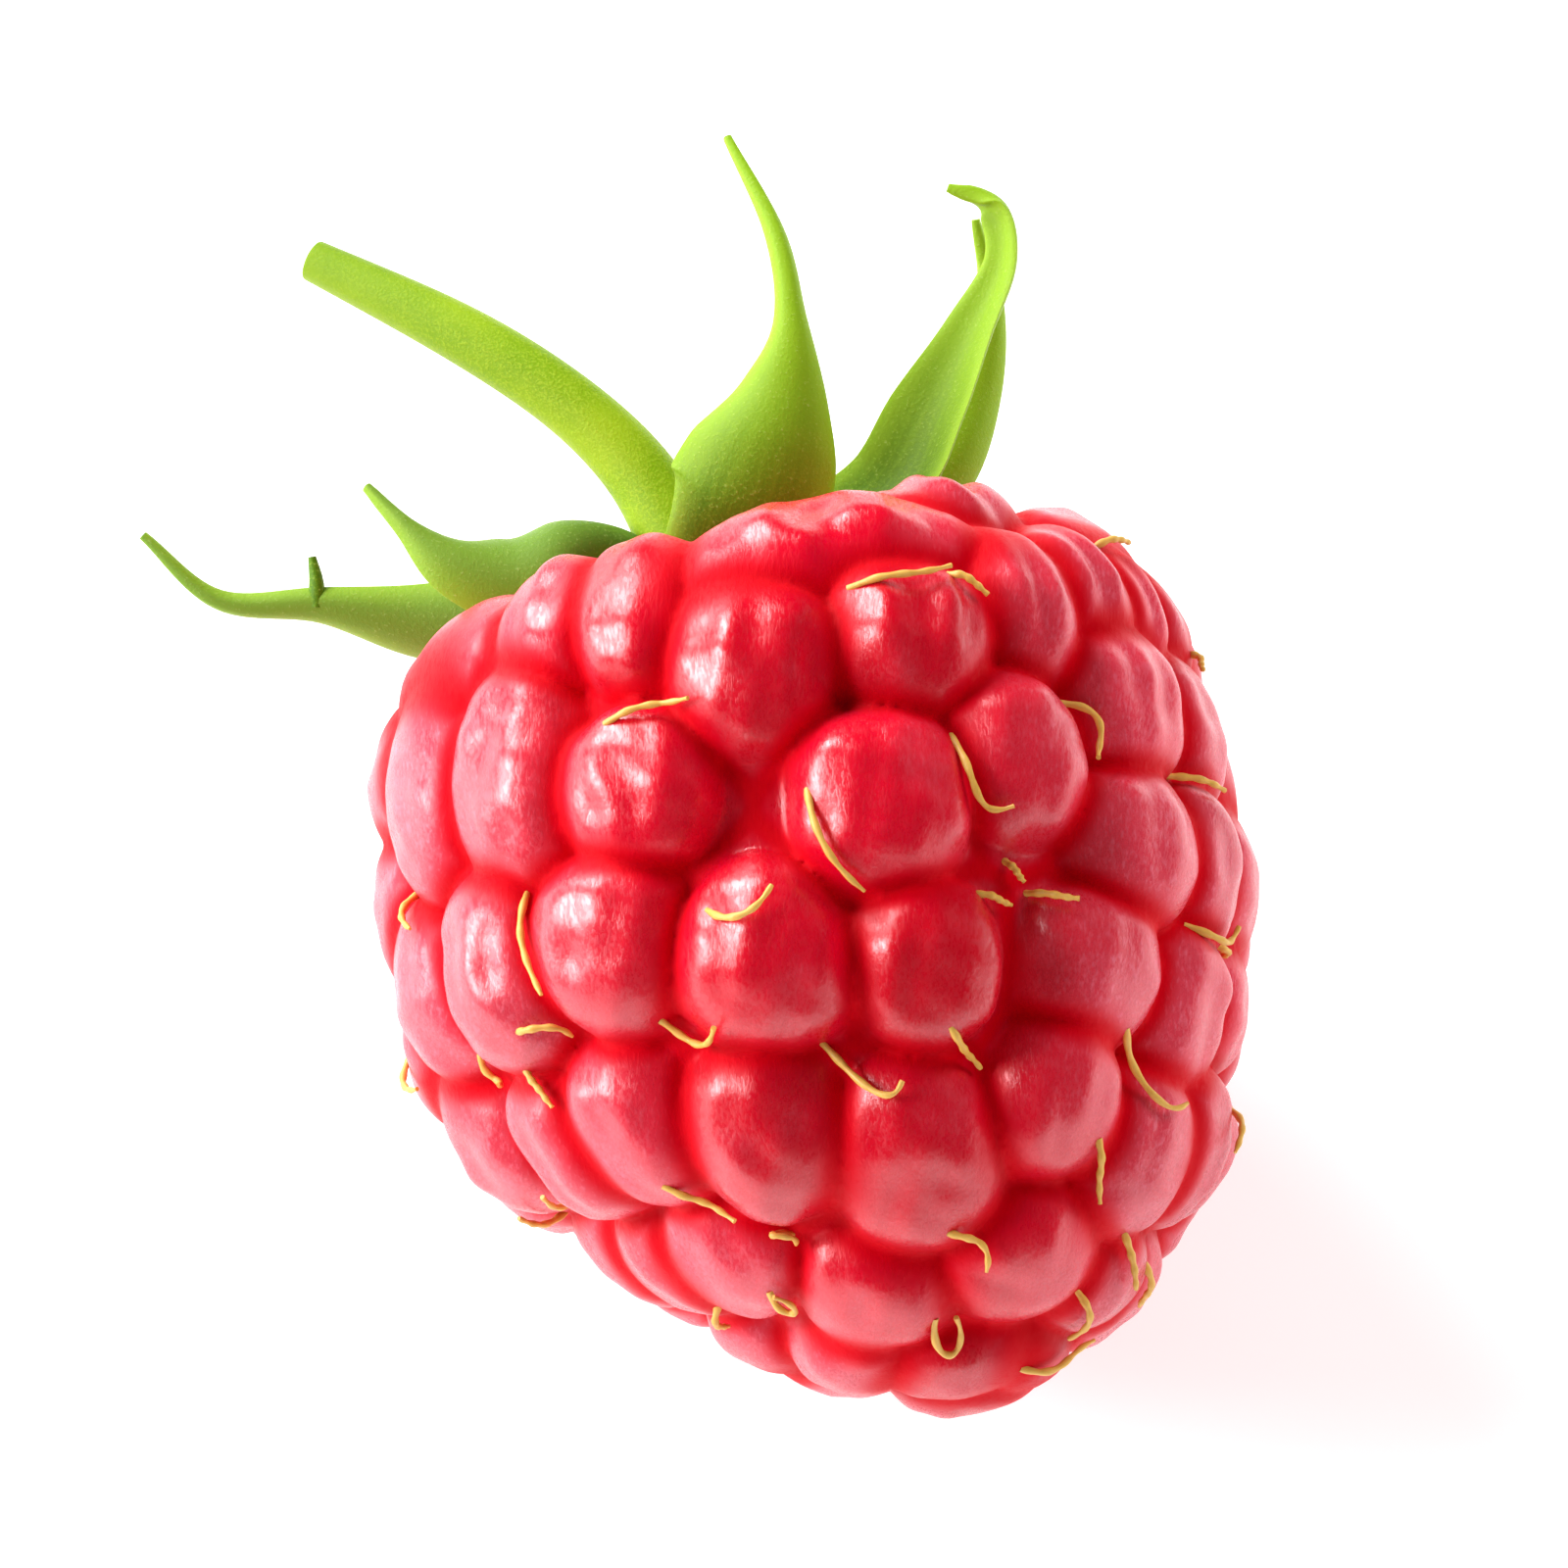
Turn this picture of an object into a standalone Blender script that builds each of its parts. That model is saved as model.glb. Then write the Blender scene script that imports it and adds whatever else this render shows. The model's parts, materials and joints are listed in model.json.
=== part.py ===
"""A picked raspberry with its stem and calyx on, lying on its side.

The berry is modelled upright in its own frame: +Z runs from the tip to the stem, -Y is the
front and azimuths turn from the front towards +X, the right. An empty then lays it down, so
that its front faces up, its stem end points along +Y and its underside rests on Z = 0.
"""

import math
from collections import namedtuple

import bmesh
import bpy
from mathutils import Matrix, Vector
from mathutils.bvhtree import BVHTree

MM = 0.001

# Outer envelope of the fruit, which the top of every drupelet touches.
FRUIT_RADIUS = 10.15
SHOULDER_HEIGHT, SHOULDER_POWER = 9.9, 3.3
TIP_DEPTH, TIP_POWER = 11.5, 1.65
TIP_SHIFT = 1.4  # the tip bends to the right of the axis
BEND_TOP, BEND_BOTTOM = -2.5, -9.0  # the heights that the bend starts and ends at

# How the berry lies: turned about X, Y and Z, then moved so that its underside meets Z = 0.
LYING_DEG = (-70.5, -5.5, 8.5)
LYING_AT = (3.2, -3.4, 9.4)

CORE_DEPTH = 2.1  # the flesh below the creases, measured from the envelope
POCKET_FLOOR = 7.8  # the flat flesh that the calyx sits over
INNER_RING_RADIUS, INNER_RING_TOP, INNER_RING_COUNT = 4.5, 8.3, 9
INNER_RING_SIZE = (1.75, 1.75, 1.6)
DRUPELET_DEPTH = 2.3
SLOPE_STEP = 0.05  # half the height that the envelope's slope is taken over
VOXEL = 0.35
KEPT_FACES = 0.22
TABLE_SIDE, TABLE_DEPTH = 60, 10  # the block that flattens the underside

CUP_CENTRE = (-1.4, 0.0)
CUP_RADIUS = 2.0
CUP_BOTTOM, CUP_TOP = 8.2, 9.1
CUP_ROUNDING = 0.15
CUP_SEGMENTS = 24
SEPAL_THICKNESS = 0.36
SEPAL_STEPS, SEPAL_STEPS_ACROSS = 16, 4
STEM_POINTS = 18
STEM_BEVEL = 5
STYLE_RADIUS = 0.09
STYLE_TIP_RADIUS = 0.063
STYLE_LIFT = 0.34
STYLE_ROOT_LIFT = 0.2

Drupelet = namedtuple("Drupelet", "azimuth height width length")
Sepal = namedtuple("Sepal", "name side cup spine widths")
Style = namedtuple("Style", "drupelet across along heading length turn")
Path = namedtuple("Path", "azimuth height heading length turn")

# Drupelets of the front half, from the shoulder down: degrees, then millimetres.
FRONT_DRUPELETS = [
    Drupelet(*row)
    for row in (
        (-37, 7.9, 2.9, 3.6),
        (-20, 7.5, 3.1, 4.0),
        (12, 8.2, 6.5, 3.4),
        (44, 9.1, 4.3, 3.2),
        (41, 6.1, 2.9, 3.8),
        (56, 6.6, 2.8, 3.6),
        (69, 6.4, 2.8, 3.6),
        (83, 6.3, 2.9, 3.8),
        (-64, 4.6, 3.8, 5.4),
        (-43, 3.8, 3.5, 5.0),
        (-23, 2.6, 3.4, 3.6),
        (-3, 5.1, 3.6, 3.9),
        (21, 5.2, 3.6, 3.5),
        (34, 1.9, 3.2, 3.8),
        (58, 3.4, 3.6, 3.8),
        (77, 3.0, 3.3, 3.9),
        (-86, 2.2, 3.4, 4.2),
        (-74, 0.0, 3.4, 4.2),
        (-53, -0.6, 3.3, 4.4),
        (-32, -1.0, 3.5, 3.9),
        (-9, -2.1, 3.7, 3.9),
        (12, 1.2, 3.7, 3.9),
        (54, -0.3, 3.6, 3.6),
        (71, -0.6, 3.1, 4.0),
        (88, -0.4, 3.2, 4.0),
        (-84, -3.7, 3.6, 4.2),
        (-60, -4.8, 3.1, 3.9),
        (-43, -5.0, 3.2, 4.0),
        (-23, -5.9, 3.6, 4.2),
        (15, -3.0, 3.3, 3.6),
        (44, -3.4, 3.5, 3.5),
        (66, -4.2, 3.4, 4.0),
        (87, -3.7, 3.2, 3.4),
        (-92, -6.8, 3.3, 3.6),
        (-74, -7.6, 3.1, 3.6),
        (-55, -8.0, 3.3, 3.6),
        (1, -7.1, 3.7, 4.6),
        (32, -6.2, 3.3, 3.7),
        (54, -7.6, 3.2, 3.9),
        (75, -7.3, 3.1, 3.8),
        (-24, -9.5, 3.5, 3.6),
        (25, -9.4, 3.7, 3.6),
        (64, -9.8, 3.1, 3.0),
        (-98, -9.3, 3.2, 3.0),
        (-62, -10.5, 3.4, 2.8),
        (0, -11.1, 3.7, 2.6),
        (70, -11.1, 3.0, 2.4),
    )
]

# Rows that close the hidden half: height, azimuths of the first and last drupelet, how many.
BACK_ROWS = (
    (8.1, 76, 296, 8),
    (5.3, 98, 276, 9),
    (2.1, 96, 255, 9),
    (-1.2, 105, 266, 9),
    (-4.4, 104, 256, 9),
    (-7.3, 96, 248, 8),
    (-9.6, 105, 235, 4),
    (-11.1, 160, 160, 1),
)
BACK_SWAY = 0.35  # how far a row's drupelets stray from its height
BACK_SWELL = 0.06  # how far their sizes stray, as a share
BACK_FILL = 1.12  # a drupelet's width over its share of the row
BACK_LENGTH = 3.6

# Sepals: the way their width runs, how deep they are cupped, their midrib and their width along it.
SEPALS = [
    Sepal(
        "sepal_front",
        (1.0, 0.1, 0.0),
        -0.2,
        (
            (-1.2, -2.5, 8.9), (-0.1, -3.2, 9.6), (0.7, -3.5, 10.9), (1.4, -3.4, 12.4),
            (1.8, -3.2, 14.0), (1.8, -2.8, 16.2), (1.1, -2.0, 18.9),
        ),
        (1.8, 3.6, 3.5, 2.0, 0.8, 0.5, 0.2),
    ),
    Sepal(
        "sepal_right",
        (0.75, -0.55, -0.55),
        0.25,
        (
            (1.5, -1.0, 9.2), (3.6, -1.0, 10.0), (4.8, -1.0, 11.6), (6.0, -1.0, 13.4),
            (7.0, -1.0, 15.0), (7.0, -1.0, 16.4), (6.0, -1.2, 17.0),
        ),
        (2.0, 2.4, 2.2, 1.4, 0.9, 0.8, 0.2),
    ),
    Sepal(
        "sepal_back_right",
        (0.8, 0.1, -0.6),
        -0.2,
        (
            (0.0, 1.5, 9.5), (2.5, 2.4, 10.0), (4.6, 2.6, 11.5), (5.8, 3.0, 13.4),
            (6.6, 2.8, 15.2), (6.6, 2.0, 17.0),
        ),
        (2.0, 2.4, 2.2, 1.7, 0.7, 0.2),
    ),
    Sepal(
        "sepal_left",
        (-0.25, -0.55, -0.8),
        0.25,
        (
            (-3.1, -0.8, 10.1), (-4.3, -1.5, 10.1), (-5.6, -1.8, 9.8), (-6.8, -2.0, 10.1),
            (-7.8, -1.9, 11.0), (-8.6, -1.7, 12.2),
        ),
        (1.2, 2.2, 2.8, 1.8, 0.6, 0.2),
    ),
    Sepal(
        "sepal_back_left",
        (-0.2, 0.45, -0.85),
        0.2,
        (
            (-3.3, 1.2, 9.5), (-5.6, 2.5, 9.4), (-8.0, 3.0, 9.8), (-10.4, 3.0, 10.7),
            (-12.8, 3.0, 11.3), (-14.3, 2.6, 13.1),
        ),
        (1.8, 2.2, 1.9, 0.9, 0.5, 0.2),
    ),
]

STEM_ROUTE = (
    (-1.6, 0.0, 9.5), (-2.2, 0.0, 11.6), (-3.6, 0.0, 13.7), (-5.9, 0.3, 16.0), (-9.1, 1.0, 18.6),
)
STEM_RADII = (0.95, 0.85, 0.75, 0.7, 0.5)

# How far a style turns on its way, in degrees: anticlockwise, or clockwise where negative.
STRAIGHT, BOW, HOOK, LOOP = 0, 60, 190, 330
HOOK_LATENESS = 3  # a hook keeps its turn for its far end

# Styles of the front: the drupelet that each grows from, by its place in FRONT_DRUPELETS from 0,
# where on it (-1 and 1 are its edges, towards the right and the stem), its heading in degrees
# (0 towards the right, 90 towards the stem), its length and its turn.
FRONT_STYLES = [
    Style(*row)
    for row in (
        (10, -0.1, 0.8, 15, 2.2, -BOW / 2),
        (12, -0.8, 0.6, -15, 2.4, BOW / 2),
        (12, 0.6, 0.6, -45, 1.0, STRAIGHT),
        (5, 0.8, 0.4, -10, 1.0, STRAIGHT),
        (15, 0.6, 1.0, -110, 0.6, STRAIGHT),
        (21, -1.0, 0.2, -95, 2.8, BOW),
        (13, -1.2, 0.3, -95, 2.8, HOOK),
        (14, -1.5, -0.1, 0, 2.4, -3 * BOW),
        (23, -0.7, 1.1, -20, 1.3, STRAIGHT),
        (20, -0.5, 0.7, -45, 2.0, 2 * BOW),
        (19, -1.1, 1.0, -90, 2.6, BOW / 2),
        (17, 0.1, 1.1, -60, 1.6, BOW / 2),
        (29, 0.9, 0.9, -20, 1.0, STRAIGHT),
        (29, 1.5, 1.35, -75, 0.7, BOW / 2),
        (29, 1.8, 0.85, -30, 0.8, BOW / 2),
        (22, 0.9, -1.0, -25, 1.8, HOOK),
        (23, 0.2, -0.9, -10, 0.8, STRAIGHT),
        (18, 0.5, -0.7, 0, 1.3, -HOOK),
        (26, -0.6, 1.4, -140, 1.8, 3 * BOW),
        (27, -1.0, 1.0, -65, 1.0, STRAIGHT),
        (28, -0.3, 1.4, -75, 2.2, 2.5 * BOW),
        (36, -0.4, 1.2, -60, 2.2, HOOK),
        (37, -1.4, 1.1, -75, 1.4, BOW / 2),
        (38, -0.6, 1.6, -75, 2.8, HOOK),
        (39, 0.7, 0.8, -170, 1.6, BOW),
        (38, -1.2, 0.4, -80, 1.3, STRAIGHT),
        (27, 0.1, -0.5, -60, 1.4, BOW / 2),
        (34, -0.2, 1.1, -10, 1.4, BOW),
        (33, 0.0, 0.7, 0, 1.5, BOW / 2),
        (40, -0.5, 0.8, 120, 1.8, -LOOP),
        (41, -1.0, 0.6, -10, 1.4, -HOOK),
        (34, 0.4, -0.5, -160, 1.0, STRAIGHT),
        (40, -1.0, 0.5, -150, 1.8, LOOP),
        (45, -0.1, 0.9, -150, 2.2, LOOP),
        (41, 0.9, -0.2, -20, 1.0, -BOW),
        (42, -0.5, 0.7, -45, 1.0, STRAIGHT),
        (42, 0.4, 0.4, -30, 1.1, STRAIGHT),
        (46, -0.6, 0.1, 5, 1.8, BOW / 2),
    )
]

# Of the hidden half's drupelets, every fourth has a style; these headings, lengths and turns follow
# one another.
BACK_STYLE_SHAPES = ((-60, 2.0, BOW), (-90, 1.5, -BOW), (-45, 2.0, HOOK), (-75, 1.5, -HOOK))
BACK_STYLE_FIRST, BACK_STYLE_STEP = 2, 4
BACK_STYLE_RISE = 0.6  # how far stemwards of its drupelet's middle a style starts
STYLE_POINTS = 9
STYLE_FLOOR_GAP = 0.8
STYLE_LOWEST = -11.2  # no style runs over the fruit's very tip
NEAR_TIP_RADIUS = 2  # the fruit counts as no thinner than this where a style turns


def material(name, colour, roughness):
    made = bpy.data.materials.new(name)
    made.use_nodes = True
    shader = made.node_tree.nodes["Principled BSDF"]
    shader.inputs["Base Color"].default_value = (*colour, 1)
    shader.inputs["Roughness"].default_value = roughness
    shader.inputs["Metallic"].default_value = 0
    made.diffuse_color = (*colour, 1)
    return made


def add_object(name, data, finish, collection, lying):
    """A new object made of one material, riding on the empty that lays the berry down."""
    made = bpy.data.objects.new(name, data)
    data.materials.append(finish)
    collection.objects.link(made)
    made.parent = lying
    return made


def envelope_radius(height):
    """Radius of the fruit's outer envelope at a height above its middle."""
    reach, power = (SHOULDER_HEIGHT, SHOULDER_POWER) if height > 0 else (TIP_DEPTH, TIP_POWER)
    share = min(abs(height) / reach, 1)
    return FRUIT_RADIUS * (1 - share**power) ** (1 / power)


def axis_shift(height):
    """How far the fruit's centre line lies to the right of the axis at a height."""
    share = min(max((BEND_TOP - height) / (BEND_TOP - BEND_BOTTOM), 0), 1)
    return TIP_SHIFT * share * share * (3 - 2 * share)


def envelope_frame(azimuth, height):
    """Matrix of a spot on the envelope, in millimetres: X runs round the fruit, Y stemwards, Z out."""
    angle = math.radians(azimuth)
    top = min(height + SLOPE_STEP, SHOULDER_HEIGHT)
    bottom = max(height - SLOPE_STEP, -TIP_DEPTH)
    slope = envelope_radius(top) - envelope_radius(bottom)
    out = Vector((math.sin(angle), -math.cos(angle), 0))
    around = Vector((math.cos(angle), math.sin(angle), 0))
    upward = (out * slope + Vector((0, 0, top - bottom))).normalized()
    place = out * envelope_radius(height) + Vector((axis_shift(height), 0, height))
    frame = Matrix((around, upward, around.cross(upward))).transposed().to_4x4()
    frame.translation = place
    return frame


def back_drupelets():
    """The drupelets of the hidden rows, whose heights and sizes stray a little."""
    for row, (height, first, last, count) in enumerate(BACK_ROWS):
        step = (last - first) / max(count - 1, 1)
        share = math.radians(step) * envelope_radius(height)
        width = BACK_FILL * share if count > 1 else BACK_LENGTH
        for place in range(count):
            sway = BACK_SWAY * math.sin(2.4 * place + 1.7 * row)
            swell = 1 + BACK_SWELL * math.sin(3.1 * place + row)
            azimuth = first + step * place
            yield Drupelet(azimuth, height + sway, width * swell, BACK_LENGTH * swell)


def add_inner_ring(shape):
    """The low drupelets that close the shoulder around the calyx."""
    for place in range(INNER_RING_COUNT):
        angle = 2 * math.pi * place / INNER_RING_COUNT
        side = Vector((math.cos(angle), math.sin(angle), 0)) * INNER_RING_RADIUS
        centre = side + Vector((CUP_CENTRE[0] / 2, 0, INNER_RING_TOP - INNER_RING_SIZE[2]))
        scale = Matrix.Diagonal((*INNER_RING_SIZE, 1))
        matrix = Matrix.Scale(MM, 4) @ Matrix.Translation(centre) @ scale
        bmesh.ops.create_icosphere(shape, subdivisions=3, radius=1, matrix=matrix)


def add_drupelet(shape, drupelet):
    """An ellipsoid whose top touches the envelope."""
    size = (drupelet.width / 2, drupelet.length / 2, DRUPELET_DEPTH)
    sunk = Matrix.Translation((0, 0, -DRUPELET_DEPTH))
    place = envelope_frame(drupelet.azimuth, drupelet.height) @ sunk @ Matrix.Diagonal((*size, 1))
    bmesh.ops.create_icosphere(shape, subdivisions=3, radius=1, matrix=Matrix.Scale(MM, 4) @ place)


def add_core(shape):
    """The flesh that fills the creases: a sphere pulled to just under the envelope."""
    core = bmesh.ops.create_uvsphere(shape, u_segments=48, v_segments=32, radius=1)["verts"]
    for vertex in core:
        height = vertex.co.z * (SHOULDER_HEIGHT if vertex.co.z > 0 else TIP_DEPTH)
        around = vertex.co.to_2d().normalized()
        side = around * max(envelope_radius(height) - CORE_DEPTH, 0)
        level = min(max(height, CORE_DEPTH - TIP_DEPTH), POCKET_FLOOR)
        vertex.co = Vector((side.x + axis_shift(height), side.y, level)) * MM


def fruit_mesh():
    """Every drupelet and the core that fills the creases, in one mesh."""
    shape = bmesh.new()
    add_inner_ring(shape)
    for drupelet in [*FRONT_DRUPELETS, *back_drupelets()]:
        add_drupelet(shape, drupelet)
    add_core(shape)
    mesh = bpy.data.meshes.new("fruit")
    shape.to_mesh(mesh)
    shape.free()
    return mesh


def make_fruit(finish, collection, cutters, lying):
    """The fruit as one skin over its drupelets, flattened where it rests."""
    fruit = add_object("fruit", fruit_mesh(), finish, collection, lying)
    skin = fruit.modifiers.new("one skin", "REMESH")
    skin.mode = "VOXEL"
    skin.voxel_size = VOXEL * MM
    skin.use_smooth_shade = True
    fewer = fruit.modifiers.new("fewer faces", "DECIMATE")
    fewer.ratio = KEPT_FACES
    flat = fruit.modifiers.new("flattened where it rests", "BOOLEAN")
    flat.operation = "DIFFERENCE"
    flat.object = make_table(cutters)
    return fruit


def make_table(cutters):
    """The block under Z = 0 that flattens the drupelets which carry the berry."""
    bpy.ops.mesh.primitive_cube_add(size=1, location=(0, 0, -TABLE_DEPTH / 2 * MM))
    table = bpy.context.object
    table.name = "table_cutter"
    table.scale = (TABLE_SIDE * MM, TABLE_SIDE * MM, TABLE_DEPTH * MM)
    for collection in table.users_collection:
        collection.objects.unlink(table)
    cutters.objects.link(table)
    table.hide_render = True
    table.display_type = "WIRE"
    return table


def make_cup(finish, collection, lying):
    """The shallow cup of the calyx: a turned profile, listed down its outer side."""
    middle = (CUP_TOP + CUP_BOTTOM) / 2
    outline = (
        (0, CUP_TOP),
        (CUP_RADIUS - 3 * CUP_ROUNDING, CUP_TOP),
        (CUP_RADIUS - CUP_ROUNDING, CUP_TOP - CUP_ROUNDING),
        (CUP_RADIUS, middle),
        (CUP_RADIUS - 3 * CUP_ROUNDING, CUP_BOTTOM + CUP_ROUNDING),
        (0, CUP_BOTTOM),
    )
    mesh = bpy.data.meshes.new("calyx_cup")
    points = [(x * MM, 0, z * MM) for x, z in outline]
    mesh.from_pydata(points, [(i, i + 1) for i in range(len(points) - 1)], [])
    cup = add_object("calyx_cup", mesh, finish, collection, lying)
    cup.location = (CUP_CENTRE[0] * MM, CUP_CENTRE[1] * MM, 0)
    turn = cup.modifiers.new("turned", "SCREW")
    turn.axis = "Z"
    turn.steps = turn.render_steps = CUP_SEGMENTS
    turn.use_smooth_shade = True
    turn.use_merge_vertices = True
    turn.merge_threshold = 0.00001


def smooth_route(points, count):
    """Evenly counted points on a Catmull-Rom curve through the given ones."""
    ends = [2 * points[0] - points[1], *points, 2 * points[-1] - points[-2]]
    route = []
    for step in range(count):
        along = step / (count - 1) * (len(points) - 1)
        first = min(int(along), len(points) - 2)
        t = along - first
        a, b, c, d = ends[first : first + 4]
        bend = (2 * a - 5 * b + 4 * c - d) * t**2 + (3 * b - a - 3 * c + d) * t**3
        route.append(0.5 * (2 * b + (c - a) * t + bend))
    return route


def smooth_widths(widths, count):
    """The same curve through single numbers."""
    return [width.x for width in smooth_route([Vector((width, 0, 0)) for width in widths], count)]


def tube(name, route, radii, bevel_resolution, finish, collection, lying):
    """A round tube with filled caps along a route in millimetres."""
    curve = bpy.data.curves.new(name, "CURVE")
    curve.dimensions = "3D"
    curve.bevel_depth = MM
    curve.bevel_resolution = bevel_resolution
    curve.use_fill_caps = True
    line = curve.splines.new("POLY")
    line.points.add(len(route) - 1)
    for point, place, radius in zip(line.points, route, radii):
        point.co = (*(Vector(place) * MM), 1)
        point.radius = radius
    return add_object(name, curve, finish, collection, lying)


def make_stem(finish, collection, lying):
    """The cut stem, which leans to the left and thins towards its end."""
    route = smooth_route([Vector(point) for point in STEM_ROUTE], STEM_POINTS)
    radii = smooth_widths(STEM_RADII, STEM_POINTS)
    tube("stem", route, radii, STEM_BEVEL, finish, collection, lying)


def make_sepal(sepal, finish, collection, lying):
    """A thin leaf: a grid bent along the midrib and cupped across it, then given its thickness."""
    spine = smooth_route([Vector(point) for point in sepal.spine], SEPAL_STEPS + 1)
    widths = smooth_widths(sepal.widths, SEPAL_STEPS + 1)
    shape = bmesh.new()
    bmesh.ops.create_grid(shape, x_segments=SEPAL_STEPS, y_segments=SEPAL_STEPS_ACROSS, size=1)
    for vertex in shape.verts:
        place = round((vertex.co.x + 1) / 2 * SEPAL_STEPS)
        reach = vertex.co.y
        ahead = spine[min(place + 1, SEPAL_STEPS)] - spine[max(place - 1, 0)]
        side = Vector(sepal.side)
        side = (side - side.project(ahead)).normalized()
        facing = side.cross(ahead).normalized()
        across = side * reach * widths[place] / 2 + facing * sepal.cup * widths[place] * reach**2
        vertex.co = (spine[place] + across) * MM
    mesh = bpy.data.meshes.new(sepal.name)
    shape.to_mesh(mesh)
    shape.free()
    mesh.shade_smooth()
    leaf = add_object(sepal.name, mesh, finish, collection, lying)
    thick = leaf.modifiers.new("leaf thickness", "SOLIDIFY")
    thick.thickness = SEPAL_THICKNESS * MM
    thick.offset = 0


def lifted(azimuth, height, lift, skin):
    """The point that stands a lift off the fruit's skin at an azimuth and height."""
    frame = envelope_frame(azimuth, height)
    inward = -frame.col[2].to_3d()
    outside = frame.translation - inward * STYLE_LIFT
    spot = skin.ray_cast(outside * MM, inward)[0]
    spot, out = skin.find_nearest(spot - inward * STYLE_LIFT * MM)[:2]
    return spot / MM + out * lift


def style_path(style):
    """A front style with its place on its drupelet turned into an azimuth and a height."""
    drupelet = FRONT_DRUPELETS[style.drupelet]
    around = style.across * drupelet.width / 2 / envelope_radius(drupelet.height)
    height = drupelet.height + style.along * drupelet.length / 2
    return Path(drupelet.azimuth + math.degrees(around), height, *style[3:])


def style_route(path, skin):
    """Points in millimetres of a style that runs over the fruit's skin, lifted clear of it."""
    azimuth, height = path.azimuth, path.height
    stride = path.length / (STYLE_POINTS - 1)
    lateness = HOOK_LATENESS if abs(path.turn) == HOOK else 1
    route = []
    for step in range(STYLE_POINTS):
        lift = STYLE_LIFT if step else STYLE_ROOT_LIFT
        route.append(lifted(azimuth, height, lift, skin))
        angle = math.radians(path.heading + path.turn * (step / (STYLE_POINTS - 1)) ** lateness)
        azimuth += math.degrees(stride * math.cos(angle) / max(envelope_radius(height), NEAR_TIP_RADIUS))
        height = max(height + stride * math.sin(angle), STYLE_LOWEST)
    return route


def lowest(route, lying):
    """Height in millimetres above Z = 0 of a route's lowest point, once the berry is laid down."""
    return min((lying.matrix_world @ (point * MM)).z for point in route) / MM


def all_styles():
    """The styles of the front, then those of the hidden half."""
    hidden = list(back_drupelets())[BACK_STYLE_FIRST::BACK_STYLE_STEP]
    shapes = [BACK_STYLE_SHAPES[i % len(BACK_STYLE_SHAPES)] for i in range(len(hidden))]
    behind = [
        Path(drupelet.azimuth, drupelet.height + BACK_STYLE_RISE, *shape)
        for drupelet, shape in zip(hidden, shapes)
    ]
    return [style_path(style) for style in FRONT_STYLES] + behind


def make_styles(fruit, finish, collection, lying):
    """Every style that keeps clear of the surface under the berry."""
    bpy.context.view_layer.update()
    graph = bpy.context.evaluated_depsgraph_get()
    skin = BVHTree.FromObject(fruit, graph)
    routes = [style_route(path, skin) for path in all_styles()]
    routes = [route for route in routes if lowest(route, lying) > STYLE_FLOOR_GAP]
    for number, route in enumerate(routes, start=1):
        radii = [STYLE_RADIUS] * (len(route) - 1) + [STYLE_TIP_RADIUS]
        tube(f"style_{number:02d}", route, radii, 0, finish, collection, lying)


def main():
    for old in list(bpy.data.objects):
        bpy.data.objects.remove(old)
    berry = bpy.data.collections.new("raspberry")
    cutters = bpy.data.collections.new("cutters")
    bpy.context.scene.collection.children.link(berry)
    bpy.context.scene.collection.children.link(cutters)

    lying = bpy.data.objects.new("lying_down", None)
    berry.objects.link(lying)
    lying.rotation_euler = [math.radians(angle) for angle in LYING_DEG]
    lying.location = [place * MM for place in LYING_AT]

    flesh = material("raspberry_flesh", (0.72, 0.02, 0.06), 0.4)
    leaf_green = material("calyx_green", (0.24, 0.42, 0.05), 0.6)
    stem_green = material("stem_green", (0.3, 0.48, 0.05), 0.6)
    golden = material("style_gold", (0.86, 0.6, 0.18), 0.5)

    fruit = make_fruit(flesh, berry, cutters, lying)
    make_cup(leaf_green, berry, lying)
    make_stem(stem_green, berry, lying)
    for sepal in SEPALS:
        make_sepal(sepal, leaf_green, berry, lying)
    make_styles(fruit, golden, berry, lying)


main()
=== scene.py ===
"""Looks of a picked raspberry that lies on its side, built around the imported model.

Lengths are in millimetres in the berry's own upright frame: +Z runs from the tip to the stem, -Y is
the front and azimuths turn from the front towards +X. laid() takes them to the row's frame in metres.
"""

import json
import math
from collections import namedtuple

import bmesh
import bpy
import numpy as np
from mathutils import Euler, Matrix, Vector
from mathutils.bvhtree import BVHTree

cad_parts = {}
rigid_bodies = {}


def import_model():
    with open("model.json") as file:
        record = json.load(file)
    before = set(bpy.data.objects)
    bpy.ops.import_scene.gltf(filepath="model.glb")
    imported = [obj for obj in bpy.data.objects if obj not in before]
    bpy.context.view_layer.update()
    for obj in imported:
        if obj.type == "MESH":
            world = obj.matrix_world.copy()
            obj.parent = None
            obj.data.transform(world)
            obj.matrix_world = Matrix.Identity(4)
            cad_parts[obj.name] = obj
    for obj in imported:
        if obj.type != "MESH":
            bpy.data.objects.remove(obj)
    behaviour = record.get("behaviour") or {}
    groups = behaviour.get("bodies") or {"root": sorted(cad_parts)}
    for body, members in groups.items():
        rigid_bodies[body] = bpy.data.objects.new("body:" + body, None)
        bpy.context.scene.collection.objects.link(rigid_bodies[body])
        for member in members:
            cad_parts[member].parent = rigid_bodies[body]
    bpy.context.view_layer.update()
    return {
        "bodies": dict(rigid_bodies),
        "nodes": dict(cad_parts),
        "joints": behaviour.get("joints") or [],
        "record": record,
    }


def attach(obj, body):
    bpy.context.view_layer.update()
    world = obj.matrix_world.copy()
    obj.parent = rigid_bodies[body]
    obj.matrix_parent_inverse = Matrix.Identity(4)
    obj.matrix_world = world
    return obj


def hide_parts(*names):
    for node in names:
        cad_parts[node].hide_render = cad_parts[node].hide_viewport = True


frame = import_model()

MM = 0.001

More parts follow.
